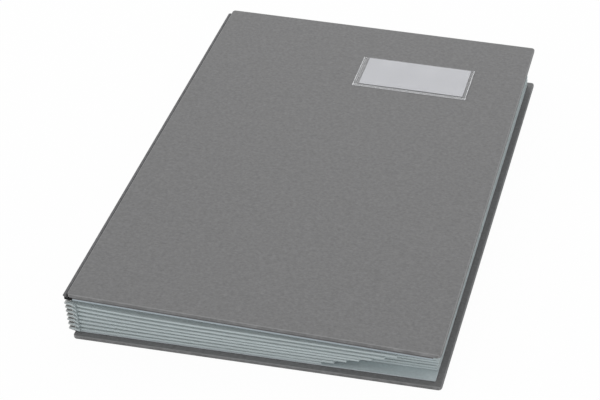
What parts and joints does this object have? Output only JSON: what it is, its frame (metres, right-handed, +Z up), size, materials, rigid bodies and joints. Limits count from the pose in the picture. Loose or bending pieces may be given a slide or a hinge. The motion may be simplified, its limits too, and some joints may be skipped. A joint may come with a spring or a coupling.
{
  "type": "signature book",
  "caption": "Board-covered signature book with a pleated accordion spine, stiff step-cut dividers and a clear label pocket on the front cover.",
  "frame": {"origin": "middle of the back cover's underside, on the surface the book lies on", "axes": "+X from the spine to the fore-edge, +Y along the spine from the stepped short edge to the label end, +Z up through the book"},
  "size_m": [0.2434, 0.3524, 0.0407],
  "materials": {
    "cover_paper": "mid-grey wrapped board, matt, faintly mottled",
    "lining_paper": "grey-green paper, matt",
    "spine_cloth": "grey book cloth, matt",
    "divider_board": "light grey-green board, matt, raw cut edges",
    "pocket_film": "clear film, glossy",
    "label_paper": "off-white card, blank"
  },
  "bodies": {
    "block": {"spine_gusset": "spine_cloth", "divider_1": "divider_board", "divider_2": "divider_board", "divider_3": "divider_board", "divider_4": "divider_board", "divider_5": "divider_board", "divider_6": "divider_board", "divider_7": "divider_board"},
    "back": {"back_cover": "cover_paper", "back_lining": "lining_paper"},
    "front": {"front_cover": "cover_paper", "front_lining": "lining_paper", "front_spine_strip": "spine_cloth", "label_pocket": "pocket_film", "label_card": "label_paper"}
  },
  "joints": [
    {"name": "front_cover_hinge", "type": "hinge", "parent": "block", "child": "front", "pos_m": [-0.1234, -0.1727, 0.03226], "axis": [0, -0.9999, -0.0171], "range_deg": [0, 185]},
    {"name": "back_cover_hinge", "type": "hinge", "parent": "block", "child": "back", "pos_m": [-0.122, -0.175, 0.00355], "axis": [0, 1, 0], "range_deg": [0, 180]}
  ]
}
